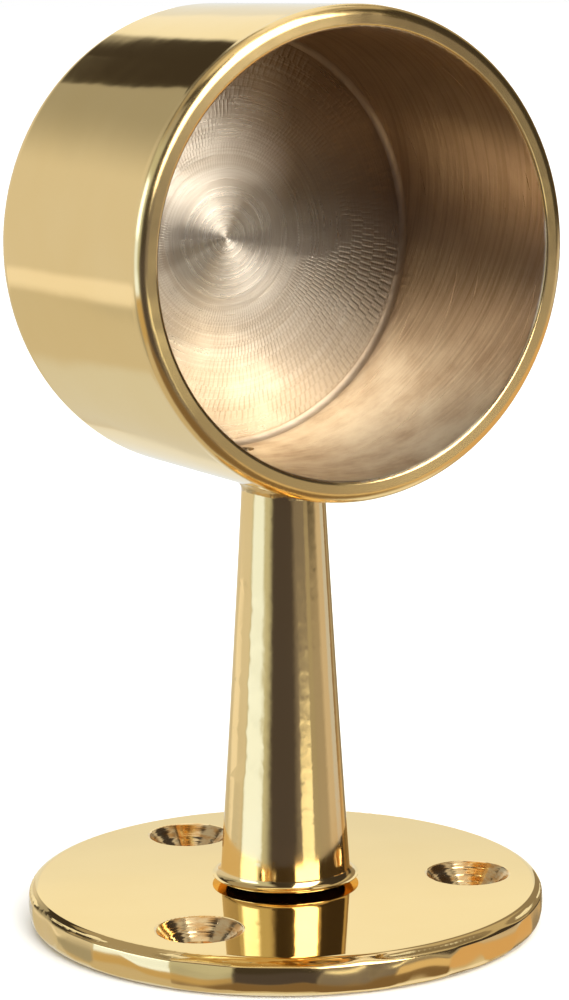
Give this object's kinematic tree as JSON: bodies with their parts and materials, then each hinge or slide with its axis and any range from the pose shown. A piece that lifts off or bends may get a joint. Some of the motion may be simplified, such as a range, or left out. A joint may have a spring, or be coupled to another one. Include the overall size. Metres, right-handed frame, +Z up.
{
  "type": "closed-end rail socket bracket",
  "caption": "Polished brass closed-end rail or flag pole bracket: round socket lying on its side on a tapered stem and a round flange with countersunk floor screw holes.",
  "frame": {"origin": "centre of the flange's underside, where the stem's axis meets the floor", "axes": "+Z up along the stem; the socket's mouth faces -Y and the rail lies along Y"},
  "size_m": [0.0622, 0.0622, 0.1094],
  "materials": {
    "polished_brass": "mirror polished and lacquered outside, turned satin finish in the bore",
    "brazing_metal": "brazed and polished",
    "screw_steel": "stainless steel, turned"
  },
  "bodies": {
    "bracket": {"socket_cup": "polished_brass", "stem": "polished_brass", "braze_fillet": "brazing_metal", "base_flange": "polished_brass", "stem_screw": "screw_steel"},
    "set_screw": {"rail_set_screw": "screw_steel"}
  },
  "joints": [
    {"name": "set_screw_advance", "type": "slide", "parent": "bracket", "child": "set_screw", "axis": [0, 0, 1], "range_m": [-0.001, 0.0015]}
  ]
}
